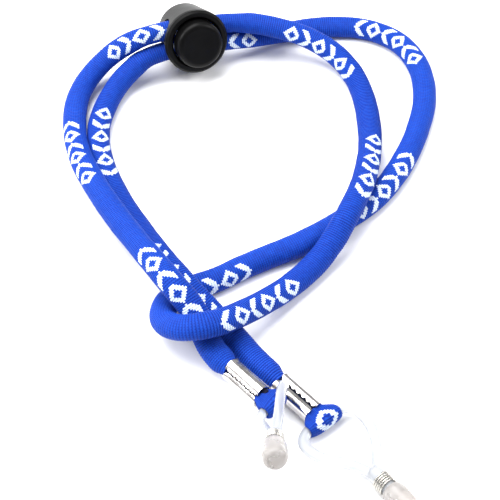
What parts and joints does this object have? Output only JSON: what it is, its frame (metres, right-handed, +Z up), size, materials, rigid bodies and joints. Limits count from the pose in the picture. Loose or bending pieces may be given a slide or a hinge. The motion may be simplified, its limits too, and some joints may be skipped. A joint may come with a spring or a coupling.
{
  "type": "eyeglasses chain strap",
  "caption": "Knitted tubular neck cord for spectacles with a push-button cord lock, crimped ends and clear temple loops with wire sliders.",
  "frame": {"origin": "on the table, under the middle of the box round the fittings (lock, crimps, loops and beads)", "axes": "+Z up; +Y from the temple loops towards the cord lock; +X to the right as seen from the loops' end"},
  "size_m": [0.1009, 0.1608, 0.0255],
  "materials": {
    "cord_knit": "matte ribbed knit with woven white figures",
    "crimp_metal": "bright nickel plate",
    "silicone": "clear, glossy",
    "silicone_bead": "clear, glossy",
    "coil_wire": "bright wire",
    "lock_plastic": "satin moulded",
    "button_plastic": "satin moulded",
    "spring_steel": "bright wire"
  },
  "bodies": {
    "strap": {"strap_cord": "cord_knit", "cord_end_left": "cord_knit", "cord_end_right": "cord_knit", "crimp_left": "crimp_metal", "crimp_right": "crimp_metal"},
    "lock": {"lock_body": "lock_plastic", "lock_spring": "spring_steel"},
    "button": {"lock_plunger": "button_plastic"},
    "loop_left": {"temple_loop_left": "silicone", "end_bead_left": "silicone_bead"},
    "coil_left": {"slider_coil_left": "coil_wire"},
    "loop_right": {"temple_loop_right": "silicone", "end_bead_right": "silicone_bead"},
    "coil_right": {"slider_coil_right": "coil_wire"}
  },
  "joints": [
    {"name": "lock_slide", "type": "slide", "parent": "strap", "child": "lock", "axis": [0.9411, 0.3204, -0.1081], "range_m": [-0.0025, 0.005]},
    {"name": "button_press", "type": "slide", "parent": "lock", "child": "button", "axis": [-0.3377, 0.874, -0.3494], "range_m": [0, 0.002], "stiffness_N_per_m": 1500, "springref_m": -0.001, "deforming": ["lock_spring"]},
    {"name": "loop_left_swing", "type": "hinge", "parent": "strap", "child": "loop_left", "pos_m": [-0.0007, -0.0523, 0.0069], "axis": [-0.6303, -0.7764, 0], "range_deg": [-40, 60]},
    {"name": "coil_left_slide", "type": "slide", "parent": "loop_left", "child": "coil_left", "axis": [-0.0053, 0.8255, -0.5644], "range_m": [0, 0.006], "deforming": ["temple_loop_left"]},
    {"name": "loop_right_swing", "type": "hinge", "parent": "strap", "child": "loop_right", "pos_m": [0.0105, -0.054, 0.0028], "axis": [-0.7799, -0.6259, 0], "range_deg": [-60, 75]},
    {"name": "coil_right_slide", "type": "slide", "parent": "loop_right", "child": "coil_right", "axis": [-0.6259, 0.7799, 0], "range_m": [0, 0.006], "deforming": ["temple_loop_right"]}
  ]
}
